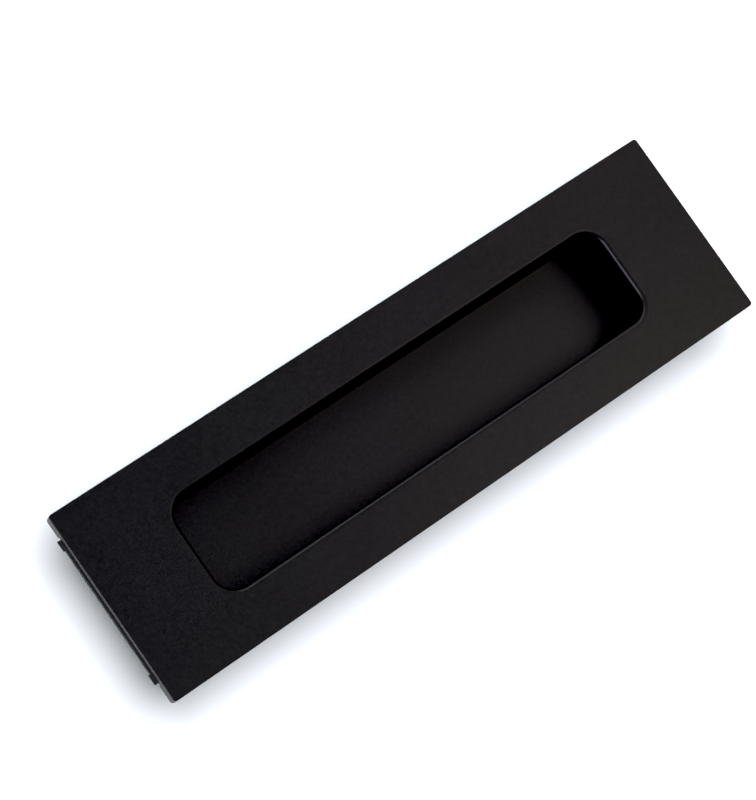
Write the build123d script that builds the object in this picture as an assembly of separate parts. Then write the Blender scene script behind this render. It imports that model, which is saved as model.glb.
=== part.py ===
from build123d import *
import math
import os

# Recessed flush pull for a sliding barn door: a cast plate with a finger cup, and the moulded frame behind it.
# The origin is the centre of the plate's footprint on the door's face. +Z points out of the door.
# +X runs along the plate. All sizes are in millimetres and angles in degrees.

# Face plate
PLATE_LENGTH = 200.0
PLATE_WIDTH = 57.0
PLATE_HEIGHT = 4.0  # from the door's face to the plate's face
PLATE_CORNER_RADIUS = 1.0
PLATE_EDGE_ROUNDING = 0.3

# Finger cup, measured between its walls at the plate's face
CUP_LENGTH = 146.0
CUP_WIDTH = 28.8
CUP_DEPTH = 17.0
CUP_CORNER_RADIUS = 6.3
CUP_DRAFT = 1.0
CUP_WALL = 2.0
CUP_FLOOR = 2.0
CUP_RIM_ROUNDING = 1.4
CUP_FLOOR_FILLET = 0.3
CUP_HEEL_ROUNDING = 2.0

# Rear frame, let into a channel that runs the length of the plate's back
FRAME_WIDTH = 44.0
FRAME_THICKNESS = 1.5
FRAME_CORNER_RADIUS = 1.0
FRAME_END_LEDGE = 0.4  # what each end shows past the plate
CHANNEL_CLEARANCE = 0.3  # frame to channel, each side
OPENING_CLEARANCE = 0.1  # frame to cup wall, all round

# End lugs at the frame's corners
LUG_WIDTH = 3.0
LUG_REACH = 0.4  # past the frame's end
LUG_THICKNESS = 0.75

# Countersunk screw holes through the frame
SCREW_SPACING_X = 176.0
SCREW_SPACING_Y = 28.0
SCREW_HOLE_RADIUS = 2.1
SCREW_HEAD_RADIUS = 3.2
SCREW_HEAD_ANGLE = 90.0

# Snap tongues on the frame, and the catches on the cup that they close over
TONGUE_SPACING = 80.0
TONGUE_WIDTH = 14.0
TONGUE_THICKNESS = 1.2
TONGUE_DROP = 7.0  # below the door's face
TONGUE_ROOT_FILLET = 0.8
CATCH_WIDTH = 10.0
CATCH_REACH = 0.9  # out of the cup's wall
CATCH_LENGTH = 3.0  # down the cup's wall
CATCH_CLEARANCE = 0.2  # tongue end to catch

# Levels and places that follow from the sizes above
FACE_Z = PLATE_HEIGHT
FLOOR_Z = FACE_Z - CUP_DEPTH
HEEL_Z = FLOOR_Z - CUP_FLOOR
FRAME_LENGTH = PLATE_LENGTH + 2 * FRAME_END_LEDGE
FRAME_OPENING_GROWTH = CUP_WALL + OPENING_CLEARANCE


def cup_block(growth, bottom_z):
    """A drafted block with the cup's outline grown all round, from the plate's face down to a level."""
    outline = RectangleRounded(CUP_LENGTH + 2 * growth, CUP_WIDTH + 2 * growth, CUP_CORNER_RADIUS + growth)
    return extrude(Pos(0, 0, FACE_Z) * outline, amount=bottom_z - FACE_Z, taper=CUP_DRAFT)


def lowest_edges(solid):
    """The edges round a solid's lowest face."""
    return solid.faces().sort_by(Axis.Z)[0].edges()


def wall_half_width(level):
    """Half the width of the cup's outside at a level."""
    return CUP_WIDTH / 2 + CUP_WALL - (FACE_Z - level) * math.tan(math.radians(CUP_DRAFT))


def catch(side, place_x):
    """A wedge on the cup's long wall: square at the top, where a tongue's end stops, and sloped below."""
    top = -TONGUE_DROP - CATCH_CLEARANCE
    wall_top = wall_half_width(top)
    wall_bottom = wall_half_width(top - CATCH_LENGTH)
    root = wall_top - CUP_WALL / 2
    profile = Polyline(
        (root, top),
        (wall_top + CATCH_REACH, top),
        (wall_bottom, top - CATCH_LENGTH),
        (root, top - CATCH_LENGTH),
        close=True,
    )
    wedge = extrude(Plane.YZ * make_face(profile), amount=CATCH_WIDTH / 2, both=True)
    if side < 0:
        wedge = mirror(wedge, about=Plane.XZ)
    return Pos(place_x, 0, 0) * wedge


def pull_body():
    """The casting: plate, channel, cup and catches."""
    plate = extrude(RectangleRounded(PLATE_LENGTH, PLATE_WIDTH, PLATE_CORNER_RADIUS), amount=PLATE_HEIGHT)
    plate = fillet(plate.faces().sort_by(Axis.Z)[-1].edges(), PLATE_EDGE_ROUNDING)
    channel = Box(
        FRAME_LENGTH,
        FRAME_WIDTH + 2 * CHANNEL_CLEARANCE,
        FRAME_THICKNESS,
        align=(Align.CENTER, Align.CENTER, Align.MIN),
    )
    shell = cup_block(CUP_WALL, HEEL_Z)
    shell = fillet(lowest_edges(shell), CUP_HEEL_ROUNDING)
    hollow = cup_block(0, FLOOR_Z)
    hollow = fillet(lowest_edges(hollow), CUP_FLOOR_FILLET)
    body = plate - channel + shell - hollow
    rim = body.faces().sort_by(Axis.Z)[-1].inner_wires()[0].edges()
    body = fillet(rim, CUP_RIM_ROUNDING)
    for side in (-1, 1):
        for place_x in (-TONGUE_SPACING / 2, TONGUE_SPACING / 2):
            body += catch(side, place_x)
    return body


def rear_frame():
    """The moulding: a flat frame round the cup, with end lugs, screw holes and snap tongues."""
    frame = extrude(RectangleRounded(FRAME_LENGTH, FRAME_WIDTH, FRAME_CORNER_RADIUS), amount=FRAME_THICKNESS)
    lug_length = LUG_REACH + FRAME_CORNER_RADIUS
    lug = Box(2 * lug_length, LUG_WIDTH, LUG_THICKNESS, align=(Align.CENTER, Align.CENTER, Align.MIN))
    lug_x = FRAME_LENGTH / 2 + LUG_REACH - lug_length
    lug_y = (FRAME_WIDTH - LUG_WIDTH) / 2
    frame += [place * lug for place in GridLocations(2 * lug_x, 2 * lug_y, 2, 2)]
    sleeve = cup_block(FRAME_OPENING_GROWTH + TONGUE_THICKNESS, -TONGUE_DROP)
    strip = Pos(0, 0, -TONGUE_DROP) * Box(
        TONGUE_WIDTH,
        PLATE_WIDTH,
        TONGUE_DROP + FRAME_THICKNESS,
        align=(Align.CENTER, Align.CENTER, Align.MIN),
    )
    for place in GridLocations(TONGUE_SPACING, 0, 2, 1):
        frame += sleeve & (place * strip)
    frame -= cup_block(FRAME_OPENING_GROWTH, HEEL_Z)
    roots = frame.edges().filter_by(Axis.X).filter_by(is_tongue_root)
    frame = fillet(roots, TONGUE_ROOT_FILLET)
    hole = CounterSinkHole(
        SCREW_HOLE_RADIUS, SCREW_HEAD_RADIUS, depth=FRAME_THICKNESS, counter_sink_angle=SCREW_HEAD_ANGLE
    )
    for place in GridLocations(SCREW_SPACING_X, SCREW_SPACING_Y, 2, 2):
        frame -= place * Pos(0, 0, FRAME_THICKNESS) * hole
    return frame


def is_tongue_root(edge):
    """True for the line where a tongue's outer face leaves the frame's rear face."""
    middle = edge.center()
    on_rear_face = abs(middle.Z) < OPENING_CLEARANCE
    off_tongue_centre = abs(abs(middle.X) - TONGUE_SPACING / 2)
    return on_rear_face and off_tongue_centre < OPENING_CLEARANCE


os.makedirs("parts", exist_ok=True)
for name, piece in (("pull_body", pull_body()), ("rear_frame", rear_frame())):
    export_step(piece, f"parts/{name}.step")
    print(name, "volume", round(piece.volume), "mm3, size", piece.bounding_box().size)
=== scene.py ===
# %% [markdown]
# A recessed flush pull for a sliding door: a cast plate with a deep finger cup, coated matte black,
# and a thin moulded frame behind it. The solid model is loaded first and stays fixed, so every surface
# made here is already in the right place. Lengths are in metres, +X runs along the plate and +Z points
# out of the door.

# %% Load the fixed frame
import math

import bpy
import numpy as np
from mathutils import Matrix, Vector


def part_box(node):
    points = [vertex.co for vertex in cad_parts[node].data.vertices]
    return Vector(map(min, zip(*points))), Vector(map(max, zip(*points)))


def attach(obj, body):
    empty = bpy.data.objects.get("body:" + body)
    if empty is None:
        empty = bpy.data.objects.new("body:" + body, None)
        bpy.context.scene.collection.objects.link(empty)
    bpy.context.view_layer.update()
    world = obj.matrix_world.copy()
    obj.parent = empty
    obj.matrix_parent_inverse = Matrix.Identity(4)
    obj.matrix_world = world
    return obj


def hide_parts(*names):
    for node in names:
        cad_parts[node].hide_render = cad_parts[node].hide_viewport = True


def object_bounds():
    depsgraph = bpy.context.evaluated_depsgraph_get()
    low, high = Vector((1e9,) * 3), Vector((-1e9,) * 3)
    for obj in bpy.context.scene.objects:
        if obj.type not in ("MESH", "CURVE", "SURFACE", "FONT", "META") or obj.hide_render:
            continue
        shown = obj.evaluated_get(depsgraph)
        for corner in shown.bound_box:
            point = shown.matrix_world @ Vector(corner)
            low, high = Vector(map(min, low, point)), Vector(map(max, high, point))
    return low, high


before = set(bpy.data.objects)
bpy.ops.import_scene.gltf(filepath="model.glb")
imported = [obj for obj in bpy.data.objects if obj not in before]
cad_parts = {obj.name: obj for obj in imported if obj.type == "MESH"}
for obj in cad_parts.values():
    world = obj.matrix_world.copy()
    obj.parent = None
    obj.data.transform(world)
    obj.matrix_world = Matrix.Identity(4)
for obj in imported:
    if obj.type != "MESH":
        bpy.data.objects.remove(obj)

MM = 0.001
cad_low, cad_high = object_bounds()
body_low, body_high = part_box("pull_body")
print("solid model spans", [round(v / MM, 2) for v in cad_high - cad_low], "mm")

# %% [markdown]
# The casting is one thin shell: the plate turns down into the cup without a seam. It could be cut from
# blocks, but its finish shows every facet of a cut edge, so it is drawn as a skin instead. Each level of
# the skin is a rounded rectangle, and a rounded rectangle is the sum of a small rectangle and a circle.
# That sum is worked out once for the whole ring, and only four numbers change from ring to ring: half the
# length, half the width, the corner radius and the height.

# %% A ring as the sum of a rectangle and a circle
ARC_STEPS = 16
LONG_SIDE_STEPS = 24
SHORT_SIDE_STEPS = 6


def ring_basis():
    """Signs of the rectangle's corner and the circle's outward direction, for each point round a ring.

    On an arc the corner stays and the direction turns by 90 degrees. On a straight side the direction
    stays and the corner slides from one end of the side to the other."""
    corners = np.array([(1, 1), (-1, 1), (-1, -1), (1, -1)], float)
    cores = []
    outward = []
    for turn, steps in enumerate((LONG_SIDE_STEPS, SHORT_SIDE_STEPS) * 2):
        angle = np.radians(90 * turn + np.linspace(0, 90, ARC_STEPS + 1))
        outward.append(np.stack([np.cos(angle), np.sin(angle)], axis=1))
        cores.append(np.repeat(corners[turn][None], ARC_STEPS + 1, axis=0))
        slide = np.linspace(0, 1, steps + 1)[1:-1, None]
        cores.append(corners[turn] * (1 - slide) + corners[(turn + 1) % 4] * slide)
        outward.append(np.repeat(outward[-1][-1:], steps - 1, axis=0))
    return np.concatenate(cores), np.concatenate(outward)


RING_CORE, RING_OUTWARD = ring_basis()


def rings(levels):
    """Points of stacked rounded rectangles, as an array of levels by points by three.

    A point is corner sign times (half size less radius), plus radius times outward direction."""
    half = levels[:, None, :2]
    radius = levels[:, None, 2:3]
    flat = RING_CORE[None] * (half - radius) + RING_OUTWARD[None] * radius
    height = np.broadcast_to(levels[:, None, 3:4], flat[..., :1].shape)
    return np.concatenate([flat, height], axis=2)


print("each ring has", len(RING_CORE), "points")

# %% [markdown]
# A coat of powder melts before it hardens, so it flows over every corner and leaves a small radius there.
# The section of the skin is therefore a line with softened corners: each corner is cut back to where an arc
# touches both sides. One function does that for any section, and it leaves a short flat land beside each
# arc, so that the shading of the broad faces stays flat.

# %% A section with softened corners
ARC_POINTS = 11
LAND = 0.25 * MM


def softened(points, radii):
    """A broken line with each inner corner replaced by an arc of its own radius.

    The tangent points are radius / tan(half the inner angle) from the corner, and the arc is swept from one
    to the other about its centre. Two lands run out from the arc along the sides."""
    points = np.asarray(points, float)
    out = [points[:1]]
    for before, corner, after, radius in zip(points[:-2], points[1:-1], points[2:], radii):
        back = (before - corner) / np.linalg.norm(before - corner)
        ahead = (after - corner) / np.linalg.norm(after - corner)
        half_angle = math.acos(np.clip(back @ ahead, -1, 1)) / 2
        reach = radius / math.tan(half_angle)
        middle = back + ahead
        centre = corner + middle / np.linalg.norm(middle) * radius / math.sin(half_angle)
        start = corner + back * reach - centre
        turn = math.pi - 2 * half_angle
        side = np.sign(back[1] * ahead[0] - back[0] * ahead[1])
        sweep = side * np.linspace(0, turn, ARC_POINTS)
        arc = np.stack(
            [
                start[0] * np.cos(sweep) - start[1] * np.sin(sweep),
                start[0] * np.sin(sweep) + start[1] * np.cos(sweep),
            ],
            axis=1,
        )
        land_in = corner + back * (reach + LAND)
        land_out = corner + ahead * (reach + LAND)
        out += [land_in[None], centre + arc, land_out[None]]
    out.append(points[-1:])
    return np.concatenate(out)


# %% [markdown]
# Now the section itself. It starts under the cup, at the middle of its heel, climbs the outside of the cup,
# runs out under the plate, goes round the plate's edge and across the face, and drops over the rim down to
# the middle of the cup's floor. Offsets are measured outwards from the cup's outline or inwards from the
# plate's outline, so the two outlines keep their own corner radii. The plate's edge has a small rounding
# and the rim a larger one, for the fingers. The corner at the cup's floor is nearly sharp.

# %% Sizes of the casting
PLATE_LENGTH = body_high.x - body_low.x
PLATE_WIDTH = body_high.y - body_low.y
FACE_Z = body_high.z
HEEL_Z = body_low.z
PLATE_CORNER = 1.0 * MM
PLATE_ROUNDING = 0.3 * MM
CUP_LENGTH = 146 * MM
CUP_WIDTH = 28.8 * MM
CUP_CORNER = 6.3 * MM
CUP_WALL = 2 * MM
CUP_FLOOR = 2 * MM
CUP_DRAFT = math.tan(math.radians(1))
RIM_ROUNDING = 1.4 * MM
FLOOR_CORNER = 0.06 * MM
HEEL_ROUNDING = 2 * MM
FLAT_LENGTH = 1 * MM
COAT_RADIUS = 0.12 * MM
FLOOR_Z = HEEL_Z + CUP_FLOOR
CHANNEL_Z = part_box("rear_frame")[1].z
print("plate", round(PLATE_LENGTH / MM, 2), "by", round(PLATE_WIDTH / MM, 2), "mm")
print("cup is", round((FACE_Z - FLOOR_Z) / MM, 2), "mm deep")

# %% [markdown]
# The section becomes a stack of rings. Where it is round the rings lie close together, and across the flat
# face and floor a few evenly spread rings are enough.

# %% The casting's skin as stacked rings
FACE_STEPS = 10
FLOOR_STEPS = 12
SMALLEST_CORNER = 0.05 * MM


def outline_levels(section, length, width, corner):
    """Ring numbers for a section of (offset, height) pairs.

    Half length, half width and corner radius are the outline's own, each grown by the offset."""
    offset = section[:, 0]
    radius = np.maximum(corner + offset, SMALLEST_CORNER)
    return np.stack([length / 2 + offset, width / 2 + offset, radius, section[:, 1]], axis=1)


def closing_levels(edge, steps):
    """Rings that shrink evenly from an edge ring towards its middle, without the middle itself."""
    share = np.linspace(1, 0, steps + 1)[1:-1, None]
    return np.concatenate([edge[None, :3] * share, np.full_like(share, edge[3])], axis=1)


def wall_offset(depth):
    """How far the cup's drafted wall has moved inwards at a depth below the face."""
    return -CUP_DRAFT * depth


cup_outside = softened(
    [
        (CUP_WALL + wall_offset(FACE_Z - HEEL_Z) - HEEL_ROUNDING - FLAT_LENGTH, HEEL_Z),
        (CUP_WALL + wall_offset(FACE_Z - HEEL_Z), HEEL_Z),
        (CUP_WALL + wall_offset(FACE_Z - CHANNEL_Z), CHANNEL_Z),
    ],
    [HEEL_ROUNDING],
)
plate_edge = softened(
    [
        (0, CHANNEL_Z),
        (0, FACE_Z),
        (-FLAT_LENGTH, FACE_Z),
    ],
    [PLATE_ROUNDING],
)
cup_inside = softened(
    [
        (RIM_ROUNDING + FLAT_LENGTH, FACE_Z),
        (0, FACE_Z),
        (wall_offset(FACE_Z - FLOOR_Z), FLOOR_Z),
        (wall_offset(FACE_Z - FLOOR_Z) - FLAT_LENGTH, FLOOR_Z),
    ],
    [RIM_ROUNDING, FLOOR_CORNER],
)
outside = outline_levels(cup_outside, CUP_LENGTH, CUP_WIDTH, CUP_CORNER)
edge = outline_levels(plate_edge, PLATE_LENGTH, PLATE_WIDTH, PLATE_CORNER)
inside = outline_levels(cup_inside, CUP_LENGTH, CUP_WIDTH, CUP_CORNER)
across = np.linspace(0, 1, FACE_STEPS + 1)[1:-1, None]
skin_levels = np.concatenate(
    [
        closing_levels(outside[0], FLOOR_STEPS)[::-1],
        outside,
        edge,
        edge[-1] * (1 - across) + inside[0] * across,
        inside,
        closing_levels(inside[-1], FLOOR_STEPS),
    ]
)
print("the skin has", len(skin_levels), "rings")


# %% [markdown]
# A stack of rings is a grid of points that closes on itself one way. Each cell of the grid is a four-sided
# face, and a fan of triangles closes the flat at either end of the stack.

# %% Rings into a closed mesh
def closed_skin(name, points):
    """A mesh from stacked rings: quads between neighbouring rings and a fan at each end.

    Point j of ring i is joined to j + 1 of the same ring and to both of them on ring i + 1."""
    levels, count = points.shape[:2]
    index = np.arange(levels * count).reshape(levels, count)
    ahead = np.roll(index, -1, axis=1)
    quads = np.stack([index[:-1], ahead[:-1], ahead[1:], index[1:]], axis=-1).reshape(-1, 4)
    first_pole = levels * count
    last_pole = first_pole + 1
    start = np.stack([np.full(count, first_pole), ahead[0], index[0]], axis=-1)
    end = np.stack([np.full(count, last_pole), index[-1], ahead[-1]], axis=-1)
    poles = np.stack([points[0].mean(axis=0), points[-1].mean(axis=0)])
    mesh = bpy.data.meshes.new(name)
    mesh.from_pydata(
        np.concatenate([points.reshape(-1, 3), poles]), [], quads.tolist() + start.tolist() + end.tolist()
    )
    piece = bpy.data.objects.new(name, mesh)
    bpy.context.scene.collection.objects.link(piece)
    return piece


casting = closed_skin("casting", rings(skin_levels))
print("casting has", len(casting.data.polygons), "faces")

# %% [markdown]
# The plate's back has a channel along its whole length for the moulded frame, so only two rails along the
# long edges touch the door. Each rail is a bar of the same stacked rings. It reaches a little into the
# plate and is joined to it, as metal that ran into both at once.

# %% Rails along the plate's back
CHANNEL_WIDTH = 44.6 * MM
JOIN_DEPTH = 0.4 * MM
JOIN_INSET = 0.02 * MM
RAIL_STEPS = 3
rail_width = (PLATE_WIDTH - CHANNEL_WIDTH) / 2 - JOIN_INSET
rail_section = softened([(-FLAT_LENGTH, 0), (0, 0), (0, CHANNEL_Z + JOIN_DEPTH)], [COAT_RADIUS])
rail_side = outline_levels(rail_section, PLATE_LENGTH - 2 * JOIN_INSET, rail_width, PLATE_CORNER)
rail_levels = np.concatenate(
    [closing_levels(rail_side[0], RAIL_STEPS)[::-1], rail_side, closing_levels(rail_side[-1], RAIL_STEPS)]
)
rail_place = CHANNEL_WIDTH / 2 + rail_width / 2
rails = [closed_skin("rail", rings(rail_levels) + (0, side * rail_place, 0)) for side in (-1, 1)]
print("rails are", round(rail_width / MM, 2), "mm wide")

# %% [markdown]
# Four wedges on the cup's long walls hold the frame's tongues. A wedge is square at its top, where a
# tongue's end stops, and slopes back into the wall below. It is a small section carried along a line.

# %% Catches on the cup's walls
CATCH_TOP = -7.2 * MM
CATCH_LENGTH = 3 * MM
CATCH_REACH = 0.9 * MM
CATCH_WIDTH = 10 * MM
CATCH_PLACES = (-40 * MM, 40 * MM)
CATCH_ROUNDING = 0.15 * MM


def straight_bar(name, section, start, end):
    """A closed bar with flat ends: a section of (across, height) pairs carried along X."""
    count = len(section)
    ends = np.repeat([start, end], count)
    points = np.column_stack([ends, np.tile(section, (2, 1))])
    near = np.arange(count)
    sides = np.stack([near, near + count, np.roll(near, -1) + count, np.roll(near, -1)], axis=-1)
    mesh = bpy.data.meshes.new(name)
    mesh.from_pydata(points, [], sides.tolist() + [near.tolist(), (near + count)[::-1].tolist()])
    bar = bpy.data.objects.new(name, mesh)
    bpy.context.scene.collection.objects.link(bar)
    return bar


def catch_section(side):
    """The wedge's outline, from inside the wall out along its square top and back down its slope."""
    wall_top = CUP_WIDTH / 2 + CUP_WALL + wall_offset(FACE_Z - CATCH_TOP)
    wall_bottom = CUP_WIDTH / 2 + CUP_WALL + wall_offset(FACE_Z - CATCH_TOP + CATCH_LENGTH)
    root = wall_top - CUP_WALL / 2
    foot = (wall_bottom - JOIN_INSET, CATCH_TOP - CATCH_LENGTH)
    line = softened([(root, CATCH_TOP), (wall_top + CATCH_REACH, CATCH_TOP), foot], [CATCH_ROUNDING])
    line = np.concatenate([line, [(root, CATCH_TOP - CATCH_LENGTH)]])
    return line if side > 0 else (line * (-1, 1))[::-1]


catches = [
    straight_bar("catch", catch_section(side), place - CATCH_WIDTH / 2, place + CATCH_WIDTH / 2)
    for side in (-1, 1)
    for place in CATCH_PLACES
]
print("made", len(catches), "catches")

# %% [markdown]
# Plate, cup, rails and catches are one casting, so their skins become one closed skin. A union cuts away
# what lies inside it. Arcs are shaded smooth, and edges that turn by more than an arc's step stay crisp.

# %% Join rails and catches to the casting
SHARP_ANGLE = math.radians(28)


def join_solids(piece, additions):
    """One closed skin of a piece and the solids that grow out of it, with the additions then deleted."""
    for addition in additions:
        union = piece.modifiers.new("join", "BOOLEAN")
        union.operation = "UNION"
        union.solver = "EXACT"
        union.object = addition
    joined = bpy.data.meshes.new_from_object(piece.evaluated_get(bpy.context.evaluated_depsgraph_get()))
    piece.modifiers.clear()
    piece.data = joined
    for addition in additions:
        bpy.data.objects.remove(addition)


join_solids(casting, rails + catches)
casting.data.shade_smooth()
casting.data.set_sharp_from_angle(angle=SHARP_ANGLE)
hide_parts("pull_body")
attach(casting, "root")
print("joined casting has", len(casting.data.polygons), "faces")

# %% [markdown]
# Finishes are built from small node trees. Sums and products of patterns are easier to read as Python
# expressions than as boxes, so one class wraps a socket and adds a Math node for each operator.

# %% Sockets with arithmetic
class Wire:
    """An output of a node tree that takes part in arithmetic: each operator adds a Math node."""

    def __init__(self, tree, socket=None):
        self.tree = tree
        self.socket = socket

    def node(self, kind, settings=(), inputs=(), output=0):
        """Adds a node: its settings first, then its sockets, each linked to a Wire or set to a value."""
        made = self.tree.nodes.new(kind)
        for name, value in dict(settings).items():
            setattr(made, name, value)
        for name, value in dict(inputs).items():
            if isinstance(value, Wire):
                self.tree.links.new(value.socket, made.inputs[name])
            else:
                made.inputs[name].default_value = value
        return Wire(self.tree, made.outputs[output] if made.outputs else None)

    def maths(self, operation, first, second):
        """A Math node on two values."""
        return self.node("ShaderNodeMath", {"operation": operation}, {0: first, 1: second})

    def __add__(self, other):
        return self.maths("ADD", self, other)

    def __sub__(self, other):
        return self.maths("SUBTRACT", self, other)

    def __rsub__(self, other):
        return self.maths("SUBTRACT", other, self)

    def __mul__(self, other):
        return self.maths("MULTIPLY", self, other)

    __radd__ = __add__
    __rmul__ = __mul__


MIDDLE = 0.5
MIX_FACTOR = 0
MIX_FIRST_COLOUR = 6
MIX_SECOND_COLOUR = 7
MIX_RESULT = 2


def new_finish(name):
    """An empty node material, and the Wire that nodes are added through."""
    material = bpy.data.materials.new(name)
    material.use_nodes = True
    material.node_tree.nodes.clear()
    return material, Wire(material.node_tree)


def noise(place, size, detail=2.0, roughness=0.5):
    """Cloudy noise whose spots are about one size across, in metres."""
    return place.node(
        "ShaderNodeTexNoise",
        {"noise_dimensions": "3D"},
        {"Vector": place, "Scale": 1 / size, "Detail": detail, "Roughness": roughness},
    )


def swing(pattern, amount):
    """A pattern's swing about its middle value, scaled by an amount."""
    return amount * (pattern - MIDDLE)


def blend_colours(factor, dark, light):
    """A colour between two, by a value from 0 to 1. The Mix node's colour sockets are known by number."""
    inputs = {MIX_FACTOR: factor, MIX_FIRST_COLOUR: dark, MIX_SECOND_COLOUR: light}
    return factor.node("ShaderNodeMix", {"data_type": "RGBA"}, inputs, output=MIX_RESULT)


# %% [markdown]
# The coat on the casting is a fine matte black powder. Close up it isn't one black: the melted grains leave
# a low orange peel about a millimetre across, with a finer tooth on top, and the gloss drifts a little over
# the plate. A flat dark colour would lose the soft mottling that the face shows.

# %% Powder coat
COAT_DARK = (0.0004, 0.0003, 0.0005, 1)
COAT_LIGHT = (0.0060, 0.0056, 0.0060, 1)
COAT_ROUGHNESS = 0.43
COAT_SPECULAR = 0.35
PEEL_SIZE = 1.1 * MM
TOOTH_SIZE = 0.35 * MM
DRIFT_SIZE = 24 * MM
PEEL_HEIGHT = 0.022 * MM
PEEL_SHARE = 0.7
PEEL_MOTTLE = 0.9
TOOTH_MOTTLE = 1.6
DRIFT_MOTTLE = 0.4
TOOTH_DULLING = 0.08
DRIFT_DULLING = 0.06


def powder_coat():
    """Matte black powder: mottled colour, drifting roughness, and a bump of orange peel and fine tooth."""
    material, wire = new_finish("powder_coat")
    place = wire.node("ShaderNodeTexCoord", output="Object")
    peel = noise(place, PEEL_SIZE)
    tooth = noise(place, TOOTH_SIZE, detail=3.0, roughness=0.6)
    drift = noise(place, DRIFT_SIZE)
    mottle = MIDDLE + swing(peel, PEEL_MOTTLE) + swing(tooth, TOOTH_MOTTLE) + swing(drift, DRIFT_MOTTLE)
    colour = blend_colours(mottle, COAT_DARK, COAT_LIGHT)
    roughness = COAT_ROUGHNESS + swing(tooth, TOOTH_DULLING) + swing(drift, DRIFT_DULLING)
    relief = PEEL_SHARE * peel + (1 - PEEL_SHARE) * tooth
    normal = wire.node("ShaderNodeBump", {}, {"Height": relief, "Strength": 1.0, "Distance": PEEL_HEIGHT})
    shader = wire.node(
        "ShaderNodeBsdfPrincipled",
        {},
        {
            "Base Color": colour,
            "Roughness": roughness,
            "Specular IOR Level": COAT_SPECULAR,
            "Normal": normal,
        },
    )
    wire.node("ShaderNodeOutputMaterial", {}, {"Surface": shader})
    return material


casting.data.materials.clear()
casting.data.materials.append(powder_coat())
print("coat uses", len(casting.data.materials[0].node_tree.nodes), "nodes")

# %% [markdown]
# The frame behind the plate is moulded in black nylon. Its tool was spark eroded, which prints a dull, even
# grain on every face, and the plastic is a shade greyer than the coat.

# %% Moulded nylon
NYLON_DARK = (0.015, 0.015, 0.016, 1)
NYLON_LIGHT = (0.026, 0.026, 0.028, 1)
NYLON_ROUGHNESS = 0.72
NYLON_SPECULAR = 0.2
GRAIN_SIZE = 0.5 * MM
GRAIN_HEIGHT = 0.03 * MM
GRAIN_DULLING = 0.12
FLOW_SIZE = 15 * MM


def moulded_nylon():
    """Dull black nylon with an even spark-eroded grain and faint clouding where the melt flowed."""
    material, wire = new_finish("moulded_nylon")
    place = wire.node("ShaderNodeTexCoord", output="Object")
    grain = noise(place, GRAIN_SIZE, detail=3.0, roughness=0.65)
    flow = noise(place, FLOW_SIZE, detail=1.0)
    colour = blend_colours(MIDDLE * (grain + flow), NYLON_DARK, NYLON_LIGHT)
    normal = wire.node("ShaderNodeBump", {}, {"Height": grain, "Strength": 1.0, "Distance": GRAIN_HEIGHT})
    shader = wire.node(
        "ShaderNodeBsdfPrincipled",
        {},
        {
            "Base Color": colour,
            "Roughness": NYLON_ROUGHNESS + swing(grain, GRAIN_DULLING),
            "Specular IOR Level": NYLON_SPECULAR,
            "Normal": normal,
        },
    )
    wire.node("ShaderNodeOutputMaterial", {}, {"Surface": shader})
    return material


rear_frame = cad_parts["rear_frame"]
rear_frame.data.materials.clear()
rear_frame.data.materials.append(moulded_nylon())
print("frame material slots", len(rear_frame.material_slots))

# %% [markdown]
# The pull lies on a pale table, resting on the heel of its cup, so the plate stands clear of the table and
# throws a soft shadow beside its ends.

# %% Table
TABLE_HALF = 3.0
TABLE_DARK = (0.86, 0.87, 0.88, 1)
TABLE_LIGHT = (0.89, 0.89, 0.90, 1)
TABLE_ROUGHNESS = 0.8
CLOUD_SIZE = 60 * MM
table_mesh = bpy.data.meshes.new("table")
table_corners = np.array([(-1, -1, 0), (1, -1, 0), (1, 1, 0), (-1, 1, 0)], float) * TABLE_HALF
table_mesh.from_pydata(table_corners + (0, 0, cad_low.z), [], [(0, 1, 2, 3)])
table = bpy.data.objects.new("table", table_mesh)
bpy.context.scene.collection.objects.link(table)
print("table lies at", round(cad_low.z / MM, 2), "mm")


def pale_table():
    """A matt, nearly white board with a very faint cloud in its colour."""
    material, wire = new_finish("pale_table")
    place = wire.node("ShaderNodeTexCoord", output="Object")
    cloud = noise(place, CLOUD_SIZE)
    colour = blend_colours(cloud, TABLE_DARK, TABLE_LIGHT)
    shader = wire.node("ShaderNodeBsdfPrincipled", {}, {"Base Color": colour, "Roughness": TABLE_ROUGHNESS})
    wire.node("ShaderNodeOutputMaterial", {}, {"Surface": shader})
    return material


table.data.materials.append(pale_table())

# %% [markdown]
# Matte black shows what it reflects more than its own colour, so the lights are placed by what the faces
# mirror. One window lights the table and throws the soft shadow, and the faces don't mirror it. The other
# lamps are cards that show only in reflections. A dim bluish ceiling keeps the face from going black. A warm
# card and a small rosy one above the far end make the plate paler there. A bright card low at the near end
# lights the edges that face it, and a long low one beside the pull draws the line along the cup's rim. The
# near card stays low so that the flat faces hardly mirror it. The picture's black level is raised a little,
# as in a photograph with strong contrast, so that the cup's walls sink to black.

# %% Light
BLACK_LEVEL = 0.011
ROOM_LEVEL = 0.01
ROOM_COLOUR = (0.97, 0.98, 1.0, 1)
WHITE = (1, 1, 1)
WARM = (1.0, 0.89, 0.81)
ROSE = (1.0, 0.84, 0.90)
COOL = (0.94, 0.90, 1.0)
SKY_BLUE = (0.75, 0.78, 1.0)
DAYLIGHT = (0.93, 0.96, 1.0)
CENTRE = (0, 0, 0)
scene = bpy.context.scene
scene.view_settings.view_transform = "Standard"
scene.view_settings.use_curve_mapping = True
scene.view_settings.curve_mapping.black_level = (BLACK_LEVEL,) * 3
scene.view_settings.curve_mapping.update()
world = bpy.data.worlds.new("room")
scene.world = world
world.use_nodes = True
room = world.node_tree.nodes["Background"]
room.inputs["Color"].default_value = ROOM_COLOUR
room.inputs["Strength"].default_value = ROOM_LEVEL


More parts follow.
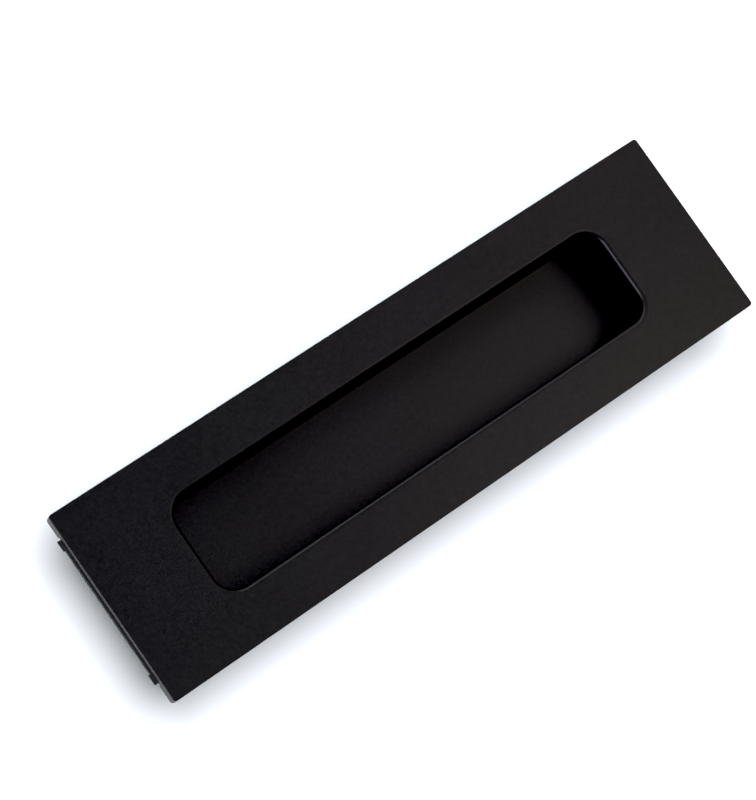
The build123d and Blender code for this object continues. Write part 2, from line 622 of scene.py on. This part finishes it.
def softbox(name, place, aim, size, brightness, colour, mirrored=True):
    """A rectangular lamp that faces a point, with a power that follows from its brightness and area.

    A mirrored lamp shows only in reflections, and the other kind only lights what it reaches."""
    lamp = bpy.data.lights.new(name, "AREA")
    lamp.shape = "RECTANGLE"
    lamp.size, lamp.size_y = size
    lamp.energy = brightness * size[0] * size[1] * math.pi
    lamp.color = colour
    holder = bpy.data.objects.new(name, lamp)
    turn = (Vector(aim) - Vector(place)).to_track_quat("-Z", "Y").to_matrix().to_4x4()
    holder.matrix_world = Matrix.Translation(place) @ turn
    holder.visible_camera = False
    holder.visible_glossy = mirrored
    holder.visible_diffuse = not mirrored
    scene.collection.objects.link(holder)


def overhead(name, place, size, brightness, colour):
    """A mirrored softbox that faces straight down."""
    softbox(name, place, (place[0], place[1], 0), size, brightness, colour)


softbox(
    "window", (0.05, 0.10, 1.0), CENTRE, size=(1.4, 1.4), brightness=4.4, colour=DAYLIGHT, mirrored=False
)
overhead("ceiling", (0.05, 0.0, 1.0), size=(0.9, 0.9), brightness=0.46, colour=SKY_BLUE)
overhead("far_card", (0.275, -0.12, 0.45), size=(0.25, 0.20), brightness=3.5, colour=WARM)
overhead("high_card", (0.32, 0.16, 0.28), size=(0.12, 0.12), brightness=5.85, colour=ROSE)
softbox("near_card", (-0.53, 0.0, 0.14), CENTRE, size=(0.3, 0.16), brightness=17.5, colour=COOL)
softbox("side_card", (0.0, 0.9, 0.36), CENTRE, size=(1.4, 0.45), brightness=3.5, colour=WHITE)
print("placed", len(bpy.data.lights), "lamps")

# %% [markdown]
# The pull is seen from above, tipped about 21 degrees towards its near end, from far enough that its long
# edges stay almost parallel. The picture's upright is a direction on the table, given by its angle from +X,
# so that the plate runs up to the right. The camera's own right is square to that and to the line of sight.

# %% Camera
CAMERA_PLACE = Vector((-251.36, -37.52, 636.77)) * MM
CAMERA_AIM = Vector((-8.51, 6.91, 4.0)) * MM
UPRIGHT_ANGLE = math.radians(53.774)
LENS = 115.29
ahead = (CAMERA_AIM - CAMERA_PLACE).normalized()
upright = Vector((math.cos(UPRIGHT_ANGLE), math.sin(UPRIGHT_ANGLE), 0))
right = ahead.cross(upright).normalized()
camera_data = bpy.data.cameras.new("camera")
camera_data.lens = LENS
camera = bpy.data.objects.new("camera", camera_data)
camera_axes = Matrix((right, right.cross(ahead), -ahead)).transposed()
camera.matrix_world = Matrix.Translation(CAMERA_PLACE) @ camera_axes.to_4x4()
scene.collection.objects.link(camera)
scene.camera = camera
print("camera is", round((CAMERA_AIM - CAMERA_PLACE).length, 3), "m away")
